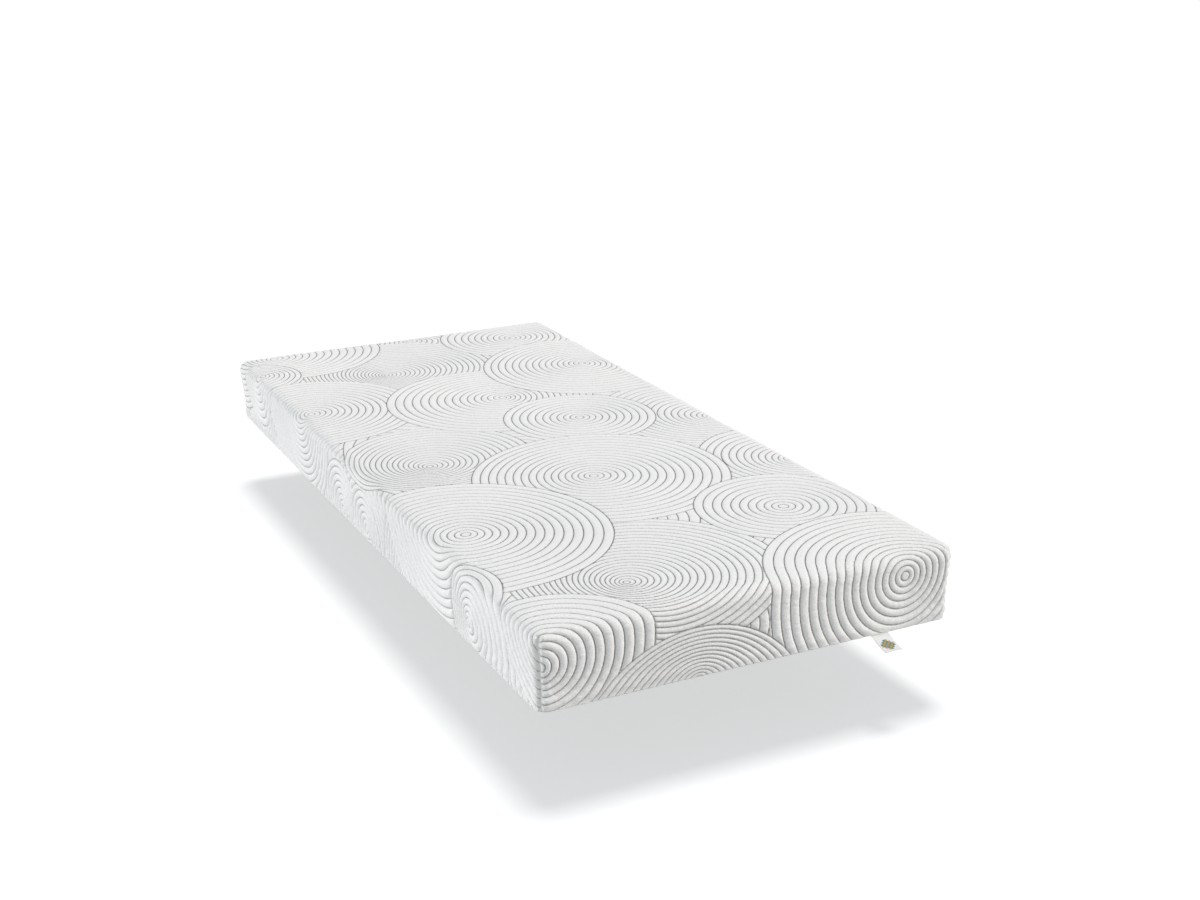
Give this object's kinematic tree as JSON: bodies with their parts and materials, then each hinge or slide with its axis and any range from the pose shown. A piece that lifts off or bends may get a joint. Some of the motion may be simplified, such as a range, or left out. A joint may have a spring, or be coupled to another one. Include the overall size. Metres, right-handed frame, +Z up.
{
  "type": "memory foam mattress",
  "caption": "Rectangular single mattress: layered foam block in a cover with ring-pattern quilting, joined to a base panel by a zip behind the hem; a woven label hangs at the foot.",
  "frame": {"origin": "middle of the underside, the flat face that rests on the bed base", "axes": "+Z up, +X across the bed, +Y along the bed from the foot end to the head end"},
  "size_m": [0.9, 2.0495, 0.16],
  "materials": {
    "knit": "white quilted stretch knit, matt",
    "wadding": "white polyester wadding",
    "backing": "thin non-woven backing",
    "seam_cloth": "overlocked seam allowance",
    "support_foam": "open-cell polyurethane foam, cut face",
    "memory_foam": "dense viscoelastic foam, cut face",
    "base_cloth": "plain woven underside cloth",
    "zip_tape": "herringbone polyester tape",
    "zip_teeth": "white nylon coil",
    "zip_metal": "nickel-plated die casting",
    "label_cloth": "woven satin label"
  },
  "bodies": {
    "base": {"base_panel": "base_cloth", "lower_zip_tape": "zip_tape", "lower_zip_teeth": "zip_teeth", "lower_zip_box": "zip_metal"},
    "foam": {"support_core": "support_foam", "memory_layer": "memory_foam"},
    "cover": {"cover_face": "knit", "cover_wadding": "wadding", "cover_backing": "backing", "corner_seams": "seam_cloth", "hem": "knit", "upper_zip_tape": "zip_tape", "upper_zip_teeth": "zip_teeth", "upper_zip_stop": "zip_metal", "label_tab": "label_cloth"},
    "slider": {"zip_slider": "zip_metal"},
    "pull": {"zip_pull": "zip_metal"},
    "label": {"label": "label_cloth"}
  },
  "joints": [
    {"name": "foam_lift", "type": "slide", "parent": "base", "child": "foam", "axis": [0, 0, 1], "range_m": [0, 0.25]},
    {"name": "cover_lift", "type": "slide", "parent": "foam", "child": "cover", "axis": [0, 0, 1], "range_m": [0, 0.25]},
    {"name": "zip_run", "type": "slide", "parent": "base", "child": "slider", "axis": [-1, 0, 0], "range_m": [0, 0.77]},
    {"name": "pull_swing", "type": "hinge", "parent": "slider", "child": "pull", "pos_m": [0.385, 0.9952, 0.011], "axis": [0, 0, -1], "range_deg": [0, 180]},
    {"name": "label_swing", "type": "hinge", "parent": "cover", "child": "label", "pos_m": [0.283, -0.9945, 0.0003], "axis": [1, 0, 0], "range_deg": [0, 150]}
  ]
}
